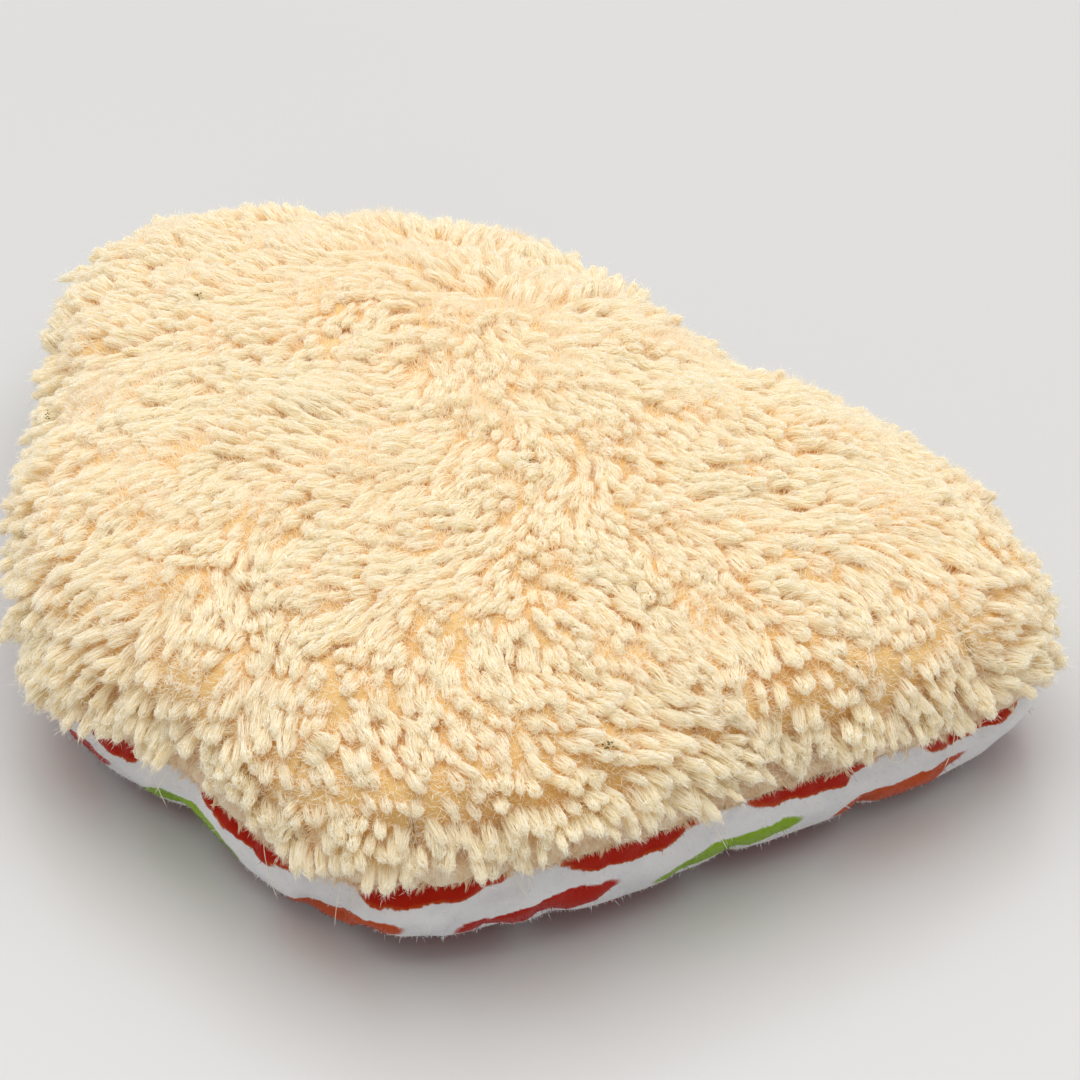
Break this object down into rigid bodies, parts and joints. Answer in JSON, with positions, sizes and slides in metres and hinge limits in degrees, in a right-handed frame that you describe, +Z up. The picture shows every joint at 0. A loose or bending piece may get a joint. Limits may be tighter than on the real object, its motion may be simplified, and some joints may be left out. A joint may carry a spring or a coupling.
{
  "type": "plush catnip toy",
  "caption": "Soft stuffed five-cornered cat toy with a cream sherpa fleece back and a printed velour front, sewn round the rim and filled with fibre and catnip.",
  "frame": {"origin": "on the surface the toy lies on, under the middle of its bounding box", "axes": "+Z up, from the printed belly to the fleece back; +Y away from the viewer of the picture, to the straight back side; +X to the viewer's right"},
  "size_m": [0.1136, 0.1154, 0.0289],
  "materials": {
    "sherpa_fleece": "matte cream sherpa pile in curled tufts",
    "printed_velour": "matte white short-nap velour with a red and green print",
    "thread": "matte cream polyester sewing thread",
    "fibrefill": "matte white polyester fibre",
    "dried_catnip": "matte crumbled dry leaf"
  },
  "bodies": {
    "root": {"fleece_panel": "sherpa_fleece", "printed_panel": "printed_velour", "needle_thread": "thread", "bobbin_thread": "thread", "closing_thread": "thread", "upper_stuffing": "fibrefill", "lower_stuffing": "fibrefill", "catnip_filling": "dried_catnip"}
  },
  "joints": []
}
